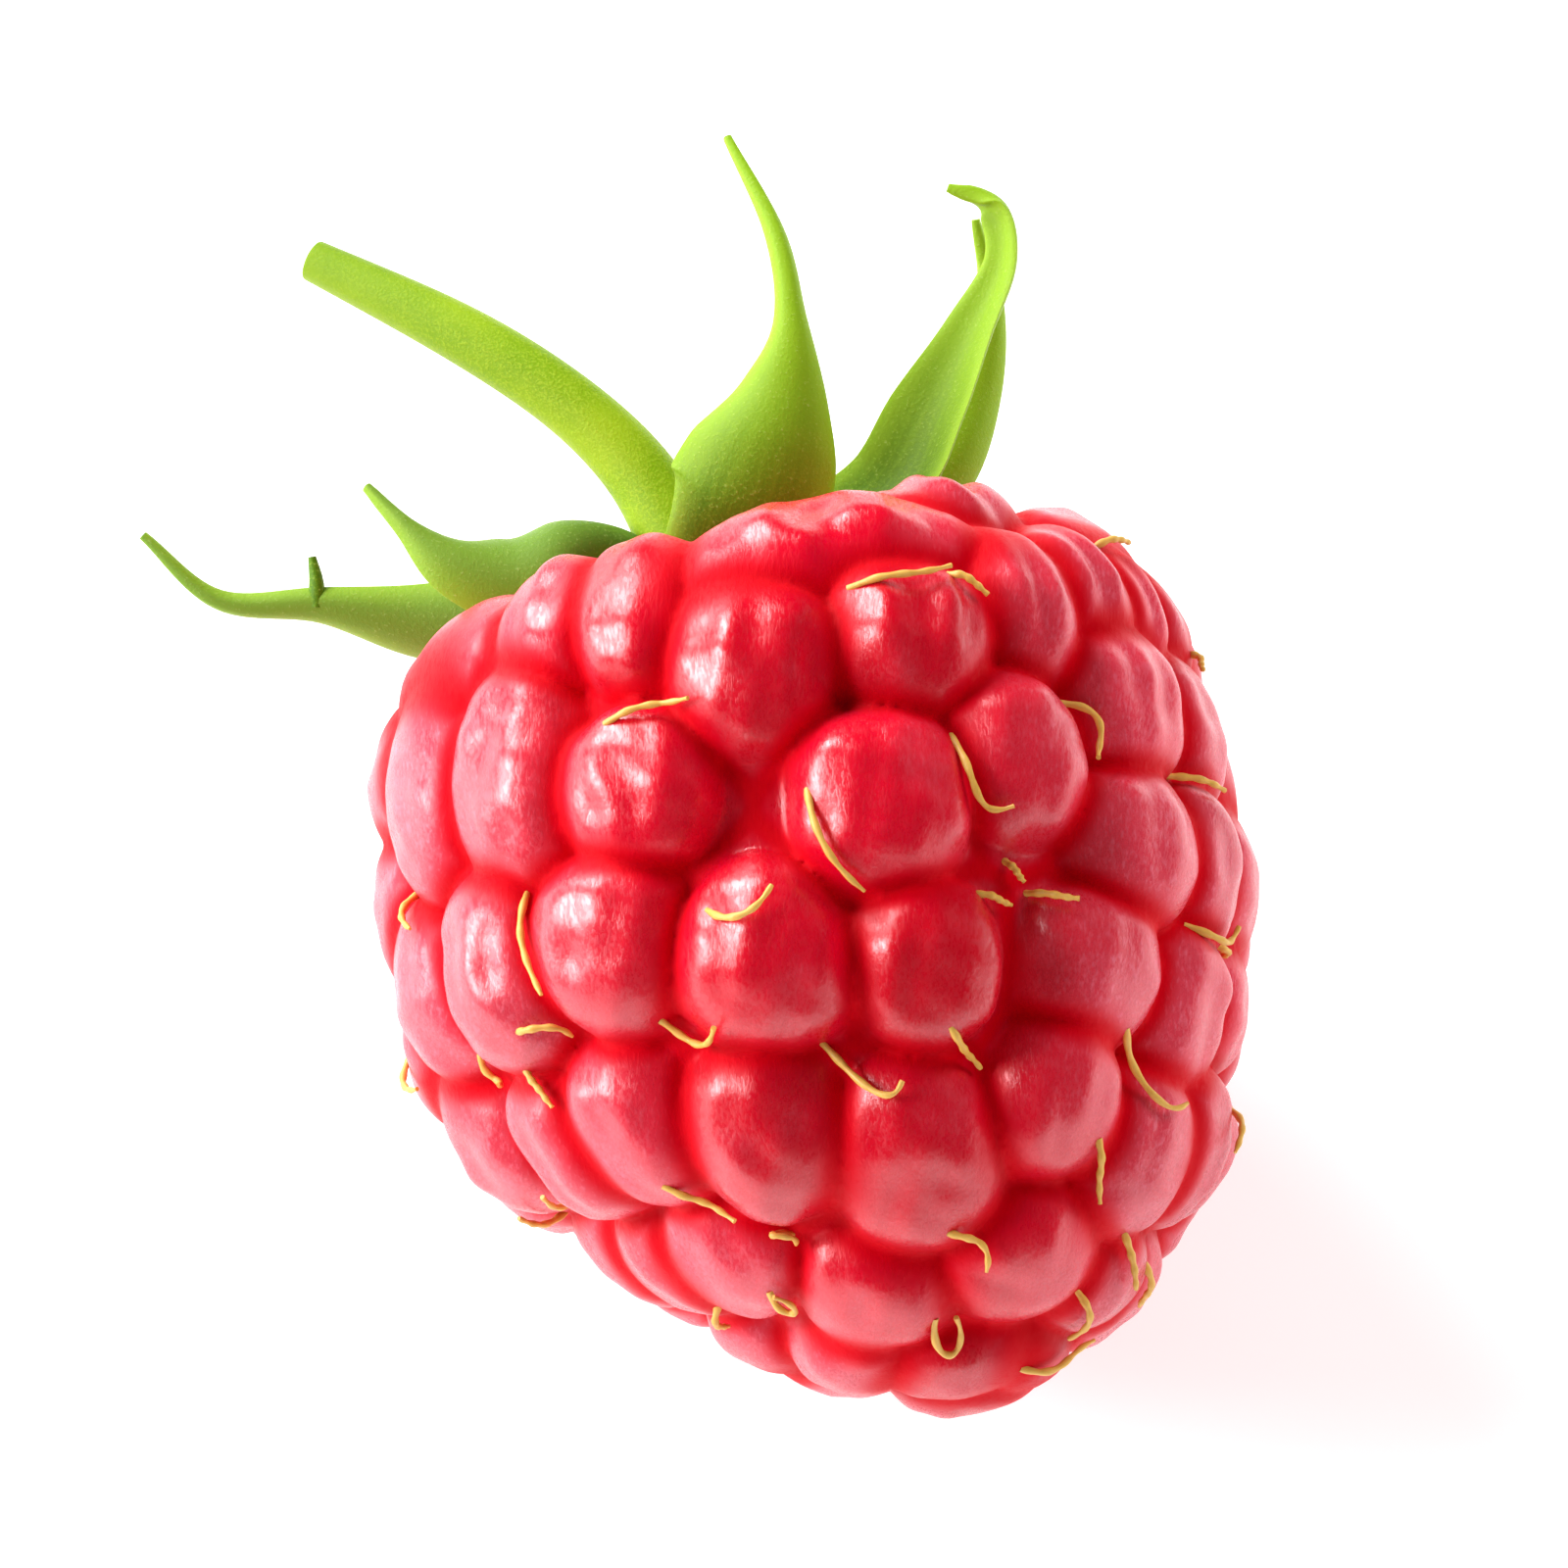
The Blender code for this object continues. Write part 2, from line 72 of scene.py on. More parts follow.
# Outer envelope of the fruit, which the top of every drupelet touches.
FRUIT_RADIUS = 10.15
SHOULDER_HEIGHT, SHOULDER_POWER = 9.9, 3.3
TIP_DEPTH, TIP_POWER = 11.5, 1.65
TIP_SHIFT = 1.4
BEND_TOP, BEND_BOTTOM = -2.5, -9.0
SLOPE_STEP = 0.05

LYING_DEG = (-70.5, -5.5, 8.5)
LYING_AT = (3.2, -3.4, 9.4)
LAID = Matrix.Translation(LYING_AT) @ Euler([math.radians(a) for a in LYING_DEG]).to_matrix().to_4x4()

CORE_DEPTH = 1.5  # how far the core that joins the drupelets lies under the envelope
POCKET_FLOOR = 7.8  # the hollow that the calyx sits over
INNER_RING_RADIUS, INNER_RING_TOP, INNER_RING_COUNT = 4.5, 8.3, 9
INNER_RING_SIZE = (1.75, 1.75, 1.6)
DRUPELET_DEPTH = 2.3
PLUMPNESS = 1.17  # the drupelets press against each other
FULLNESS = 2.5  # the power that flattens their tops and steepens their sides
SQUARENESS, EGG_SHAPE, TURN = (2.0, 2.4), (-0.18, 0.18), (-0.3, 0.3)  # the ranges they differ in
BALL_DIVISIONS = 4
SKIN_VOXEL = 0.11
SKIN_SMOOTHING, SMOOTHING_SHARE = 3, 0.5
FAR_OFF = 9.0  # farther, in a drupelet's own sizes, than the two nearest to any point lie
OUTER_EDGE, EDGE_STEEPNESS = 1.25, 3  # where bare core shows, the skin counts as crease
FOLDS_PER_BALL, FOLD_WANDER, FOLD_HEIGHT = 8.5, 1.1, 0.07
SWELL_HEIGHT = 0.1
SHOULDER_FOLDS = 1.2  # how much deeper the folds are high up on the right

CUP_CENTRE = (-1.4, 0.0)
CALYX_HEART = (-1.4, 0.0, 9.0)  # where the sepals' roots run to
ROOT_SHARE, ROOT_WIDTH = 0.6, 0.7
CUP_RADIUS, CUP_MIDDLE, CUP_HALF_HEIGHT = 2.15, 8.75, 0.62
CUP_LOBES, CUP_LOBE_DEPTH = 5, 0.06
CUP_RINGS, CUP_SPOKES = 14, 60
LEAF_HALF_THICKNESS, LEAF_EDGE_THICKNESS, LEAF_THINNEST_WIDTH = 0.17, 0.02, 0.12
LEAF_STEPS, LEAF_SPOKES = 72, 20
COOL_SEPALS = ("sepal_left", "sepal_back_left")  # the two of a greyer green
STEM_STEPS, STEM_SIDES = 90, 48
STYLE_STEPS, STYLE_SIDES, STYLE_RADIUS = 28, 8, 0.085

# Colours, as linear red, green and blue.
CREASE_DARK, CREASE_BRIGHT = (0.52, 0.0, 0.004), (0.66, 0.0, 0.008)
SKIN_DARK, SKIN_BRIGHT = (0.54, 0.0, 0.01), (0.68, 0.0, 0.018)
# Pale bloom of the drupelets' hairs; it is also painted sheen where it pales the fruit's flanks.
BLOOM_AND_SHEEN = (0.84, 0.18, 0.26)
# The first tints the gloss in the creases red: a painted reflection of the drupelets around them, in
# place of the windows' highlights.
CREASE_PAINTED_REFLECTION, SKIN_GLOSS, SKIN_SHEEN = (1.0, 0.0, 0.02), (1.0, 0.93, 0.95), (1.0, 0.62, 0.68)
# The first is the dark green of the sepals' bases: painted shade where they meet the calyx.
LEAF_BASE_SHADE, LEAF_BLADE = (0.03, 0.11, 0.0), (0.25, 0.43, 0.01)
LEAF_MARGIN, LEAF_VEIN, LEAF_SPECKLE = (0.3, 0.48, 0.02), (0.26, 0.44, 0.02), (0.3, 0.48, 0.01)
LEAF_COOL, LEAF_PALE, GREEN_SHEEN = (0.13, 0.24, 0.03), (0.5, 0.62, 0.2), (0.8, 1.0, 0.4)
STALK_DARK, STALK_BRIGHT = (0.2, 0.36, 0.001), (0.31, 0.47, 0.006)
STALK_SPECKLE, STALK_END = (0.42, 0.58, 0.03), (0.15, 0.27, 0.01)
STYLE_BROWN, STYLE_GOLD = (0.6, 0.31, 0.03), (0.86, 0.55, 0.14)
FLOOR_DIM, FLOOR_PALE, WHITE = (0.9, 0.9, 0.9), (0.94, 0.94, 0.94), (1.0, 1.0, 1.0)

Drupelet = namedtuple("Drupelet", "azimuth height width length")
Sepal = namedtuple("Sepal", "name side cup spine widths")
Style = namedtuple("Style", "drupelet across along heading length turn")
Path = namedtuple("Path", "azimuth height heading length turn")

FRONT_DRUPELETS = [
    Drupelet(*row)
    for row in (
        (-37, 7.9, 2.9, 3.6),
        (-20, 7.5, 3.1, 4.0),
        (12, 8.2, 6.5, 3.4),
        (44, 9.1, 4.3, 3.2),
        (41, 6.1, 2.9, 3.8),
        (56, 6.6, 2.8, 3.6),
        (69, 6.4, 2.8, 3.6),
        (83, 6.3, 2.9, 3.8),
        (-64, 4.6, 3.8, 5.4),
        (-43, 3.8, 3.5, 5.0),
        (-23, 2.6, 3.4, 3.6),
        (-3, 5.1, 3.6, 3.9),
        (21, 5.2, 3.6, 3.5),
        (34, 1.9, 3.2, 3.8),
        (58, 3.4, 3.6, 3.8),
        (77, 3.0, 3.3, 3.9),
        (-86, 2.2, 3.4, 4.2),
        (-74, 0.0, 3.4, 4.2),
        (-53, -0.6, 3.3, 4.4),
        (-32, -1.0, 3.5, 3.9),
        (-9, -2.1, 3.7, 3.9),
        (12, 1.2, 3.7, 3.9),
        (54, -0.3, 3.6, 3.6),
        (71, -0.6, 3.1, 4.0),
        (88, -0.4, 3.2, 4.0),
        (-84, -3.7, 3.6, 4.2),
        (-60, -4.8, 3.1, 3.9),
        (-43, -5.0, 3.2, 4.0),
        (-23, -5.9, 3.6, 4.2),
        (15, -3.0, 3.3, 3.6),
        (44, -3.4, 3.5, 3.5),
        (66, -4.2, 3.4, 4.0),
        (87, -3.7, 3.2, 3.4),
        (-92, -6.8, 3.3, 3.6),
        (-74, -7.6, 3.1, 3.6),
        (-55, -8.0, 3.3, 3.6),
        (1, -7.1, 3.7, 4.6),
        (32, -6.2, 3.3, 3.7),
        (54, -7.6, 3.2, 3.9),
        (75, -7.3, 3.1, 3.8),
        (-24, -9.5, 3.5, 3.6),
        (25, -9.4, 3.7, 3.6),
        (64, -9.8, 3.1, 3.0),
        (-98, -9.3, 3.2, 3.0),
        (-62, -10.5, 3.4, 2.8),
        (0, -11.1, 3.7, 2.6),
        (70, -11.1, 3.0, 2.4),
    )
]

BACK_ROWS = (
    (8.1, 76, 296, 8),
    (5.3, 98, 276, 9),
    (2.1, 96, 255, 9),
    (-1.2, 105, 266, 9),
    (-4.4, 104, 256, 9),
    (-7.3, 96, 248, 8),
    (-9.6, 105, 235, 4),
    (-11.1, 160, 160, 1),
)
BACK_SWAY = 0.35
BACK_SWELL = 0.06
BACK_FILL = 1.12
BACK_LENGTH = 3.6

# Sepals: the way their width runs, how deep they are cupped, their midrib and their width along it.
SEPALS = [
    Sepal(
        "sepal_front",
        (1.0, 0.1, 0.0),
        -0.2,
        (
            (-1.2, -2.5, 8.9), (-0.1, -3.2, 9.6), (0.7, -3.5, 10.9), (1.4, -3.4, 12.4),
            (1.8, -3.2, 14.0), (1.8, -2.8, 16.2), (1.1, -2.0, 18.9),
        ),
        (1.8, 3.6, 3.5, 2.0, 0.8, 0.5, 0.2),
    ),
    Sepal(
        "sepal_right",
        (0.75, -0.55, -0.55),
        0.25,
        (
            (1.5, -1.0, 9.2), (3.6, -1.0, 10.0), (4.8, -1.0, 11.6), (6.0, -1.0, 13.4),
            (7.0, -1.0, 15.0), (7.0, -1.0, 16.4), (6.0, -1.2, 17.0),
        ),
        (2.0, 2.4, 2.2, 1.4, 0.9, 0.8, 0.2),
    ),
    Sepal(
        "sepal_back_right",
        (0.8, 0.1, -0.6),
        -0.2,
        (
            (0.0, 1.5, 9.5), (2.5, 2.4, 10.0), (4.6, 2.6, 11.5), (5.8, 3.0, 13.4),
            (6.6, 2.8, 15.2), (6.6, 2.0, 17.0),
        ),
        (2.0, 2.4, 2.2, 1.7, 0.7, 0.2),
    ),
    Sepal(
        "sepal_left",
        (-0.25, -0.55, -0.8),
        0.25,
        (
            (-3.1, -0.8, 10.1), (-4.3, -1.5, 10.1), (-5.6, -1.8, 9.8), (-6.8, -2.0, 10.1),
            (-7.8, -1.9, 11.0), (-8.6, -1.7, 12.2),
        ),
        (1.2, 2.2, 2.8, 1.8, 0.6, 0.2),
    ),
    Sepal(
        "sepal_back_left",
        (-0.2, 0.45, -0.85),
        0.2,
        (
            (-3.3, 1.2, 9.5), (-5.6, 2.5, 9.4), (-8.0, 3.0, 9.8), (-10.4, 3.0, 10.7),
            (-12.8, 3.0, 11.3), (-14.3, 2.6, 13.1),
        ),
        (1.8, 2.2, 1.9, 0.9, 0.5, 0.2),
    ),
]

STEM_ROUTE = (
    (-1.6, 0.0, 9.5), (-2.2, 0.0, 11.6), (-3.6, 0.0, 13.7), (-5.9, 0.3, 16.0), (-9.1, 1.0, 18.6),
)
STEM_RADII = (0.95, 0.85, 0.75, 0.7, 0.5)
SPUR_ROUTE = ((-10.5, 3.0, 10.7), (-10.4, 2.9, 11.3), (-10.4, 2.8, 11.9))
SPUR_RADII = (0.22, 0.18, 0.1)
SPUR_STEPS, SPUR_SIDES = 16, 12
SPUR_SHADE = 0.2  # the spur gets the painted shade of a sepal near its base

# How far a style turns on its way, in degrees: anticlockwise, or clockwise where negative.
STRAIGHT, BOW, HOOK, LOOP = 0, 60, 190, 330
HOOK_LATENESS = 3  # a hook keeps its turn for its far end

# Styles of the front: the drupelet that each grows from, by its place in FRONT_DRUPELETS from 0,
# where on it (-1 and 1 are its edges, towards the right and the stem), its heading in degrees
# (0 towards the right, 90 towards the stem), its length and its turn.
FRONT_STYLES = [
    Style(*row)
    for row in (
        (10, -0.1, 0.8, 15, 2.2, -BOW / 2),
        (12, -0.8, 0.6, -15, 2.4, BOW / 2),
        (12, 0.6, 0.6, -45, 1.0, STRAIGHT),
        (5, 0.8, 0.4, -10, 1.0, STRAIGHT),
        (15, 0.6, 1.0, -110, 0.6, STRAIGHT),
        (21, -1.0, 0.2, -95, 2.8, BOW),
        (13, -1.2, 0.3, -95, 2.8, HOOK),
        (14, -1.5, -0.1, 0, 2.4, -3 * BOW),
        (23, -0.7, 1.1, -20, 1.3, STRAIGHT),
        (20, -0.5, 0.7, -45, 2.0, 2 * BOW),
        (19, -1.1, 1.0, -90, 2.6, BOW / 2),
        (17, 0.1, 1.1, -60, 1.6, BOW / 2),
        (29, 0.9, 0.9, -20, 1.0, STRAIGHT),
        (29, 1.5, 1.35, -75, 0.7, BOW / 2),
        (29, 1.8, 0.85, -30, 0.8, BOW / 2),
        (22, 0.9, -1.0, -25, 1.8, HOOK),
        (23, 0.2, -0.9, -10, 0.8, STRAIGHT),
        (18, 0.5, -0.7, 0, 1.3, -HOOK),
        (26, -0.6, 1.4, -140, 1.8, 3 * BOW),
        (27, -1.0, 1.0, -65, 1.0, STRAIGHT),
        (28, -0.3, 1.4, -75, 2.2, 2.5 * BOW),
        (36, -0.4, 1.2, -60, 2.2, HOOK),
        (37, -1.4, 1.1, -75, 1.4, BOW / 2),
        (38, -0.6, 1.6, -75, 2.8, HOOK),
        (39, 0.7, 0.8, -170, 1.6, BOW),
        (38, -1.2, 0.4, -80, 1.3, STRAIGHT),
        (27, 0.1, -0.5, -60, 1.4, BOW / 2),
        (34, -0.2, 1.1, -10, 1.4, BOW),
        (33, 0.0, 0.7, 0, 1.5, BOW / 2),
        (40, -0.5, 0.8, 120, 1.8, -LOOP),
        (41, -1.0, 0.6, -10, 1.4, -HOOK),
        (34, 0.4, -0.5, -160, 1.0, STRAIGHT),
        (40, -1.0, 0.5, -150, 1.8, LOOP),
        (45, -0.1, 0.9, -150, 2.2, LOOP),
        (41, 0.9, -0.2, -20, 1.0, -BOW),
        (42, -0.5, 0.7, -45, 1.0, STRAIGHT),
        (42, 0.4, 0.4, -30, 1.1, STRAIGHT),
        (46, -0.6, 0.1, 5, 1.8, BOW / 2),
    )
]

# Of the hidden half's drupelets, every fourth has a style; these headings, lengths and turns follow
# one another.
BACK_STYLE_SHAPES = ((-60, 2.0, BOW), (-90, 1.5, -BOW), (-45, 2.0, HOOK), (-75, 1.5, -HOOK))
BACK_STYLE_FIRST, BACK_STYLE_STEP = 2, 4
BACK_STYLE_RISE = 0.6  # how far stemwards of its drupelet's middle a style starts
STYLE_POINTS = 9
STYLE_FLOOR_GAP = 0.8
STYLE_LOWEST = -11.2  # no style runs over the fruit's very tip
NEAR_TIP_RADIUS = 2  # the fruit counts as no thinner than this where a style turns
STYLE_RISE, STYLE_ROOT = 0.16, 0.05  # a style starts in the skin and rises off it in two steps
STYLE_DROP = 0.5  # how far outside the envelope the search for the skin starts

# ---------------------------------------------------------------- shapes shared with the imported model


def envelope_radius(height):
    """Radius of the fruit's outer envelope at a height above its middle."""
    reach, power = (SHOULDER_HEIGHT, SHOULDER_POWER) if height > 0 else (TIP_DEPTH, TIP_POWER)
    share = min(abs(height) / reach, 1)
    return FRUIT_RADIUS * (1 - share**power) ** (1 / power)


def axis_shift(height):
    """How far the fruit's centre line lies to the right of the axis at a height."""
    share = min(max((BEND_TOP - height) / (BEND_TOP - BEND_BOTTOM), 0), 1)
    return TIP_SHIFT * share * share * (3 - 2 * share)


def envelope_frame(azimuth, height):
    """Matrix of a spot on the envelope: X runs round the fruit, Y stemwards, Z out."""
    angle = math.radians(azimuth)
    top = min(height + SLOPE_STEP, SHOULDER_HEIGHT)
    bottom = max(height - SLOPE_STEP, -TIP_DEPTH)
    slope = envelope_radius(top) - envelope_radius(bottom)
    out = Vector((math.sin(angle), -math.cos(angle), 0))
    around = Vector((math.cos(angle), math.sin(angle), 0))
    upward = (out * slope + Vector((0, 0, top - bottom))).normalized()
    place = out * envelope_radius(height) + Vector((axis_shift(height), 0, height))
    frame = Matrix((around, upward, around.cross(upward))).transposed().to_4x4()
    frame.translation = place
    return frame


def back_drupelets():
    """The drupelets of the hidden rows, whose heights and sizes stray a little."""
    for row, (height, first, last, count) in enumerate(BACK_ROWS):
        step = (last - first) / max(count - 1, 1)
        share = math.radians(step) * envelope_radius(height)
        width = BACK_FILL * share if count > 1 else BACK_LENGTH
        for place in range(count):
            sway = BACK_SWAY * math.sin(2.4 * place + 1.7 * row)
            swell = 1 + BACK_SWELL * math.sin(3.1 * place + row)
            azimuth = first + step * place
            yield Drupelet(azimuth, height + sway, width * swell, BACK_LENGTH * swell)


def drupelet_frames():
    """Every drupelet as the matrix that turns a unit ball into it."""
    frames = []
    for drupelet in [*FRONT_DRUPELETS, *back_drupelets()]:
        size = (drupelet.width / 2, drupelet.length / 2, DRUPELET_DEPTH)
        sunk = Matrix.Translation((0, 0, -DRUPELET_DEPTH))
        frames.append(
            envelope_frame(drupelet.azimuth, drupelet.height) @ sunk @ Matrix.Diagonal((*size, 1))
        )
    for place in range(INNER_RING_COUNT):
        angle = 2 * math.pi * place / INNER_RING_COUNT
        side = Vector((math.cos(angle), math.sin(angle), 0)) * INNER_RING_RADIUS
        centre = side + Vector((CUP_CENTRE[0] / 2, 0, INNER_RING_TOP - INNER_RING_SIZE[2]))
        frames.append(Matrix.Translation(centre) @ Matrix.Diagonal((*INNER_RING_SIZE, 1)))
    return frames


def smooth_route(points, count):
    """Evenly counted points on a Catmull-Rom curve through the given ones."""
    ends = [2 * points[0] - points[1], *points, 2 * points[-1] - points[-2]]
    route = []
    for step in range(count):
        along = step / (count - 1) * (len(points) - 1)
        first = min(int(along), len(points) - 2)
        t = along - first
        a, b, c, d = ends[first : first + 4]
        bend = (2 * a - 5 * b + 4 * c - d) * t**2 + (3 * b - a - 3 * c + d) * t**3
        route.append(0.5 * (2 * b + (c - a) * t + bend))
    return route


def eased(values, times):
    """The same points or numbers with their kinks smoothed away and both ends kept."""
    for _ in range(times):
        middles = [(a + 2 * b + c) / 4 for a, b, c in zip(values, values[1:], values[2:])]
        values = [values[0], *middles, values[-1]]
    return values


def smooth_widths(widths, count):
    """The same curve through single numbers."""
    return [width.x for width in smooth_route([Vector((width, 0, 0)) for width in widths], count)]


# ---------------------------------------------------------------- meshes


def laid(points):
    """Points in the berry's own millimetres, as an array of the row's metres."""
    turn = np.array(LAID.to_3x3())
    return (np.asarray(points, float) @ turn.T + np.array(LAID.translation)) * MM


def add_piece(name, points, faces, finish, nodes, attributes=None):
    """A smooth-shaded piece in the row's frame that rides on the berry and stands for CAD nodes."""
    mesh = bpy.data.meshes.new(name)
    mesh.from_pydata([tuple(p) for p in points], [], [tuple(int(i) for i in f) for f in faces])
    for key, values in (attributes or {}).items():
        made = mesh.attributes.new(key, "FLOAT", "POINT")
        made.data.foreach_set("value", np.asarray(values, np.float32))
    mesh.shade_smooth()
    mesh.set_sharp_from_angle(angle=math.radians(60))
    mesh.materials.append(finish)
    piece = bpy.data.objects.new(name, mesh)
    bpy.context.scene.collection.objects.link(piece)
    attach(piece, "root")
    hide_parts(*nodes)
    return piece


def drupelet_forms():
    """How each drupelet differs from an ellipsoid: its squareness, its egg shape and its turn."""
    generator = np.random.default_rng(21)
    count = len(drupelet_frames())
    return zip(*[generator.uniform(*limits, count) for limits in (SQUARENESS, EGG_SHAPE, TURN)])


def ball_of(count):
    """Points and faces of a finely divided unit ball."""
    shape = bmesh.new()
    bmesh.ops.create_icosphere(shape, subdivisions=count, radius=1)
    points = np.array([v.co for v in shape.verts])
    faces = np.array([[v.index for v in f.verts] for f in shape.faces])
    shape.free()
    return points, faces


def plump(points, power, egg, turn):
    """A unit ball's points pushed out to the drupelet's own outline."""
    flat = (np.abs(points[:, 0]) ** power + np.abs(points[:, 1]) ** power) ** (1 / power)
    reach = (flat**FULLNESS + np.abs(points[:, 2]) ** FULLNESS) ** (1 / FULLNESS)
    shaped = points / reach[:, None]
    shaped[:, 0] *= 1 + egg * shaped[:, 1]
    across = shaped[:, 0] * math.cos(turn) - shaped[:, 1] * math.sin(turn)
    upward = shaped[:, 0] * math.sin(turn) + shaped[:, 1] * math.cos(turn)
    return np.stack([across * PLUMPNESS, upward * PLUMPNESS, shaped[:, 2]], axis=1)


def plump_reach(points, power, egg, turn):
    """How far out points lie in a drupelet: 1 on its outline."""
    across = (points[:, 0] * math.cos(turn) + points[:, 1] * math.sin(turn)) / PLUMPNESS
    upward = (points[:, 1] * math.cos(turn) - points[:, 0] * math.sin(turn)) / PLUMPNESS
    across = across / (1 + egg * np.clip(upward, -1.5, 1.5))
    flat = (np.abs(across) ** power + np.abs(upward) ** power) ** (1 / power)
    return (flat**FULLNESS + np.abs(points[:, 2]) ** FULLNESS) ** (1 / FULLNESS)


def core_shape():
    """Points and faces of the core that joins the drupelets, with the hollow under the calyx."""
    shape = bmesh.new()
    bmesh.ops.create_uvsphere(shape, u_segments=96, v_segments=64, radius=1)
    for vertex in shape.verts:
        height = vertex.co.z * (SHOULDER_HEIGHT if vertex.co.z > 0 else TIP_DEPTH)
        around = vertex.co.to_2d().normalized()
        side = around * max(envelope_radius(height) - CORE_DEPTH, 0)
        level = min(max(height, CORE_DEPTH - TIP_DEPTH), POCKET_FLOOR)
        vertex.co = Vector((side.x + axis_shift(height), side.y, level))
    points = [tuple(v.co) for v in shape.verts]
    faces = [[v.index for v in f.verts] for f in shape.faces]
    shape.free()
    return points, faces


def raw_skin():
    """Points, normals and faces in millimetres of one skin over the drupelets and the core."""
    points, faces = core_shape()
    ball, ball_faces = ball_of(BALL_DIVISIONS)
    for frame, form in zip(drupelet_frames(), drupelet_forms()):
        turn = np.array(frame)
        faces += (ball_faces + len(points)).tolist()
        points += (plump(ball, *form) @ turn[:3, :3].T + turn[:3, 3]).tolist()
    mesh = bpy.data.meshes.new("raw")
    mesh.from_pydata(points, [], faces)
    raw = bpy.data.objects.new("raw", mesh)
    bpy.context.scene.collection.objects.link(raw)
    skin = raw.modifiers.new("skin", "REMESH")
    skin.mode = "VOXEL"
    skin.voxel_size = SKIN_VOXEL
    soft = raw.modifiers.new("soft", "SMOOTH")
    soft.factor = SMOOTHING_SHARE
    soft.iterations = SKIN_SMOOTHING
    done = bpy.data.meshes.new_from_object(raw.evaluated_get(bpy.context.evaluated_depsgraph_get()))
    places = np.empty(len(done.vertices) * 3, np.float32)
    done.vertices.foreach_get("co", places)
    normals = np.empty(len(done.vertices) * 3, np.float32)
    done.vertices.foreach_get("normal", normals)
    faces = [tuple(face.vertices) for face in done.polygons]
    bpy.data.objects.remove(raw)
    bpy.data.meshes.remove(done)
    return places.reshape(-1, 3).astype(float), normals.reshape(-1, 3).astype(float), faces


def drupelet_spots(points):
    """For each point: its drupelet, its spot on that drupelet's ball, how clear it is of the crease."""
    best = np.full(len(points), FAR_OFF)
    second = np.full(len(points), FAR_OFF)
    owner = np.zeros(len(points), int)
    spot = np.zeros((len(points), 3))
    for number, (frame, form) in enumerate(zip(drupelet_frames(), drupelet_forms())):
        back = np.array(frame.inverted())
        ball = points @ back[:3, :3].T + back[:3, 3]
        reach = plump_reach(ball, *form)
        nearer = reach < best
        second = np.where(nearer, best, np.minimum(second, reach))
        owner[nearer] = number
        spot[nearer] = ball[nearer]
        best = np.minimum(best, reach)
    inside = np.clip(OUTER_EDGE - best, 0, 1)
    return owner, spot, np.minimum(second - best, EDGE_STEEPNESS * inside)


def waves(points, wavelength, seed, count=7):
    """Smooth random swells from -1 to 1, as a sum of plane waves."""
    generator = np.random.default_rng(seed)
    total = np.zeros(len(points))
    for _ in range(count):
        direction = generator.normal(size=3)
        length = wavelength * generator.uniform(0.7, 1.5)
        direction *= 2 * math.pi / length / np.linalg.norm(direction)
        total += np.sin(points @ direction + generator.uniform(0, 2 * math.pi))
    return total / math.sqrt(count * 2)


def skin_relief(points, spot, clear, shift, folded):
    """Height of the skin's own relief: folds that run stemwards on each drupelet, and slow swells."""
    wander = FOLD_WANDER * waves(spot + shift, 1.6, 11)
    fading = np.clip(1 - 0.5 * spot[:, 1] ** 2, 0.3, 1)
    folds = np.sin(FOLDS_PER_BALL * spot[:, 0] + wander + shift[:, 0]) * fading
    swell = waves(points, 2.6, 12) + 0.45 * waves(points, 1.1, 13)
    open_skin = np.clip(clear / 0.5, 0, 1)
    shoulder = np.clip((points[:, 2] - 2.5) / 3, 0, 1) * np.clip((points[:, 0] + 4) / 5, 0, 1)
    depth = FOLD_HEIGHT * (folded + SHOULDER_FOLDS * shoulder)
    return open_skin * (depth * folds + SWELL_HEIGHT * swell)


def flank_sheen_share(points):
    """How far out to the fruit's left or right side each point lies, from 0 to 1, which sets how much
    painted sheen pales the flanks.
    """
    envelope = np.array([envelope_radius(z) for z in points[:, 2]])
    middle = np.array([axis_shift(z) for z in points[:, 2]])
    return np.clip(np.abs(points[:, 0] - middle) / np.maximum(envelope, 1), 0, 1)


def make_fruit(finish):
    """The whole fruit as one skin, with what its finish needs to know at each point."""
    points, normals, faces = raw_skin()
    owner, spot, clear = drupelet_spots(points)
    generator = np.random.default_rng(4)
    count = len(drupelet_frames())
    tone = generator.uniform(0, 1, count)[owner]
    shift = generator.uniform(0, 40, (count, 3))[owner]
    folded = generator.uniform(0.1, 0.7, count)[owner]
    points = points + normals * skin_relief(points, spot, clear, shift, folded)[:, None]
    placed = laid(points)
    placed[:, 2] = np.maximum(placed[:, 2], 0)
    return add_piece(
        "fruit_skin",
        placed,
        faces,
        finish,
        ["fruit"],
        # The last sets the painted sheen that pales the fruit's flanks.
        {"clear": clear, "tone": tone, "flank_sheen": flank_sheen_share(points)},
    )


